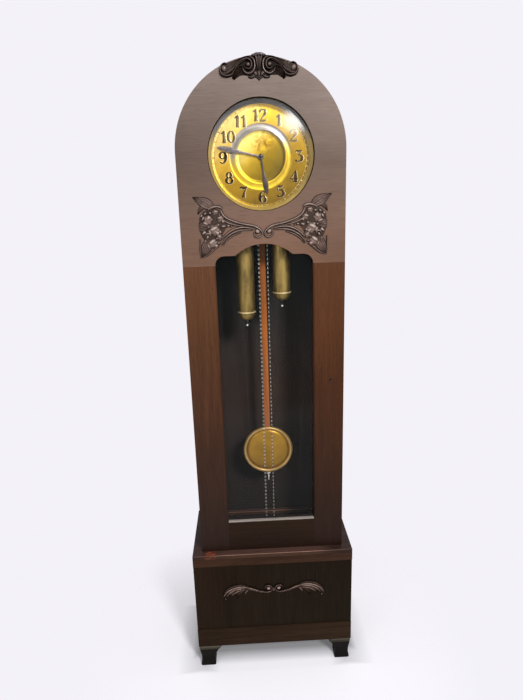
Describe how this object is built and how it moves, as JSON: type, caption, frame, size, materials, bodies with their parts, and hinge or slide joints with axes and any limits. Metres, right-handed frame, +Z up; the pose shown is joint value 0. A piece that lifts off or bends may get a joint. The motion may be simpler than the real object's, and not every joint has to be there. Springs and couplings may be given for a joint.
{
  "type": "longcase clock",
  "caption": "Free-standing longcase clock with a round-arched glazed door, brass dial, pendulum, chain-hung weights and a footed base with carved ornaments.",
  "frame": {"origin": "on the floor under the middle of the bounding box", "axes": "+Z up, the dial faces -Y, +X to the right of someone facing the dial"},
  "size_m": [0.522, 0.276, 1.9039],
  "materials": {
    "case_oak": "dark stained and waxed oak",
    "door_oak": "stained and waxed oak, open grain",
    "carved_oak": "stained carved wood",
    "inner_wood": "dark stained inside boards",
    "clear_glass": "clear polished glass",
    "dial_brass": "gilt, fine brushed",
    "bezel_brass": "aged brass",
    "numeral_bronze": "dark bronzed",
    "hand_steel": "blue-grey steel",
    "nut_steel": "polished steel",
    "movement_brass": "brushed brass",
    "movement_steel": "turned steel",
    "gong_steel": "blued spring steel",
    "hinge_brass": "aged brass",
    "rod_wood": "varnished orange-brown wood",
    "bob_brass": "spun brass, lightly aged",
    "weight_brass": "aged brass sleeve",
    "chain_steel": "plated steel links"
  },
  "bodies": {
    "case": {"base_side_left": "case_oak", "base_side_right": "case_oak", "base_front_rails": "case_oak", "base_front_panel": "case_oak", "base_top_board": "case_oak", "base_floor": "inner_wood", "front_feet": "case_oak", "rear_feet": "case_oak", "plinth_carving": "carved_oak", "case_side_left": "case_oak", "case_side_right": "case_oak", "arch_roof": "case_oak", "back_board": "inner_wood", "seat_board": "inner_wood", "seat_cleats": "inner_wood", "hinge_case_leaves": "hinge_brass", "hinge_pins": "hinge_brass", "dial_plate": "dial_brass", "dial_centre_disc": "dial_brass", "dial_numerals": "numeral_bronze", "movement_front_plate": "movement_brass", "movement_back_plate": "movement_brass", "movement_pillars": "movement_steel", "pendulum_cock": "movement_brass", "gong_block": "inner_wood", "gong_coil": "gong_steel"},
    "door": {"door_stile_left": "door_oak", "door_stile_right": "door_oak", "door_bottom_rail": "door_oak", "door_arch_board": "door_oak", "window_glass": "clear_glass", "window_beads": "door_oak", "dial_glass": "clear_glass", "dial_bezel": "bezel_brass", "crest_carving": "carved_oak", "spandrel_carving": "carved_oak", "hinge_door_leaves": "hinge_brass", "door_lock": "hinge_brass"},
    "lock_bolt": {"lock_bolt": "nut_steel"},
    "centre_arbor": {"centre_wheel": "movement_brass", "minute_hand": "hand_steel", "hand_nut": "nut_steel"},
    "hour_pipe": {"hour_wheel": "movement_brass", "hour_hand": "hand_steel"},
    "minute_wheel": {"minute_wheel": "movement_brass"},
    "time_great_wheel": {"time_great_wheel": "movement_brass"},
    "third_wheel": {"third_wheel": "movement_brass"},
    "escape_wheel": {"escape_wheel": "movement_brass"},
    "strike_great_wheel": {"strike_great_wheel": "movement_brass"},
    "anchor": {"anchor": "movement_steel"},
    "pendulum": {"pendulum_rod": "rod_wood", "pendulum_bob": "bob_brass", "rating_nut": "bob_brass"},
    "hammer": {"hammer": "movement_steel"},
    "time_weight": {"time_weight": "weight_brass", "time_chain_loaded": "chain_steel"},
    "strike_weight": {"strike_weight": "weight_brass", "strike_chain_loaded": "chain_steel"},
    "time_chain_tail": {"time_chain_free": "chain_steel"},
    "strike_chain_tail": {"strike_chain_free": "chain_steel"}
  },
  "joints": [
    {"name": "door_hinge", "type": "hinge", "parent": "case", "child": "door", "pos_m": [-0.2294, -0.0845, 0.439], "axis": [0, 0, -1], "range_deg": [0, 110]},
    {"name": "lock_bolt_slide", "type": "slide", "parent": "door", "child": "lock_bolt", "axis": [1, 0, 0], "range_m": [0, 0.007]},
    {"name": "centre_spin", "type": "hinge", "parent": "case", "child": "centre_arbor", "pos_m": [0, 0, 1.657], "axis": [0, 1, 0], "continuous": true},
    {"name": "hour_spin", "type": "hinge", "parent": "case", "child": "hour_pipe", "pos_m": [0, 0, 1.657], "axis": [0, 1, 0], "continuous": true},
    {"name": "minute_wheel_spin", "type": "hinge", "parent": "case", "child": "minute_wheel", "pos_m": [0.01838, 0, 1.64157], "axis": [0, 1, 0], "continuous": true},
    {"name": "time_great_spin", "type": "hinge", "parent": "case", "child": "time_great_wheel", "pos_m": [-0.0335, 0, 1.63167], "axis": [0, 1, 0], "continuous": true},
    {"name": "third_spin", "type": "hinge", "parent": "case", "child": "third_wheel", "pos_m": [-0.01267, 0, 1.68286], "axis": [0, 1, 0], "continuous": true},
    {"name": "escape_spin", "type": "hinge", "parent": "case", "child": "escape_wheel", "pos_m": [0, 0, 1.70301], "axis": [0, 1, 0], "continuous": true},
    {"name": "strike_great_spin", "type": "hinge", "parent": "case", "child": "strike_great_wheel", "pos_m": [0.0333, 0, 1.63167], "axis": [0, 1, 0], "continuous": true},
    {"name": "pendulum_swing", "type": "hinge", "parent": "case", "child": "pendulum", "pos_m": [0, 0, 1.72701], "axis": [0, 1, 0], "range_deg": [-2.5, 2.5]},
    {"name": "anchor_rock", "type": "hinge", "parent": "case", "child": "anchor", "pos_m": [0, 0, 1.72701], "axis": [0, 1, 0], "range_deg": [-2.6, 2.6]},
    {"name": "hammer_lift", "type": "hinge", "parent": "case", "child": "hammer", "pos_m": [0.0615, 0, 1.65197], "axis": [0, -1, 0], "range_deg": [0, 12]},
    {"name": "time_weight_drop", "type": "slide", "parent": "case", "child": "time_weight", "axis": [0, 0, -1], "range_m": [0, 1], "deforming": ["time_chain_loaded"]},
    {"name": "strike_weight_drop", "type": "slide", "parent": "case", "child": "strike_weight", "axis": [0, 0, -1], "range_m": [0, 1], "deforming": ["strike_chain_loaded"]},
    {"name": "time_chain_rise", "type": "slide", "parent": "case", "child": "time_chain_tail", "axis": [0, 0, 1], "range_m": [0, 1], "deforming": ["time_chain_free"]},
    {"name": "strike_chain_rise", "type": "slide", "parent": "case", "child": "strike_chain_tail", "axis": [0, 0, 1], "range_m": [0, 1], "deforming": ["strike_chain_free"]}
  ],
  "couplings": [
    {"joint": "hour_spin", "follows": "centre_spin", "ratio": 0.083333},
    {"joint": "minute_wheel_spin", "follows": "centre_spin", "ratio": -0.33333},
    {"joint": "time_great_spin", "follows": "centre_spin", "ratio": -0.16667},
    {"joint": "third_spin", "follows": "centre_spin", "ratio": -8},
    {"joint": "escape_spin", "follows": "centre_spin", "ratio": 60},
    {"joint": "anchor_rock", "follows": "pendulum_swing", "ratio": 1},
    {"joint": "time_chain_rise", "follows": "time_weight_drop", "ratio": 1},
    {"joint": "strike_chain_rise", "follows": "strike_weight_drop", "ratio": 1}
  ]
}
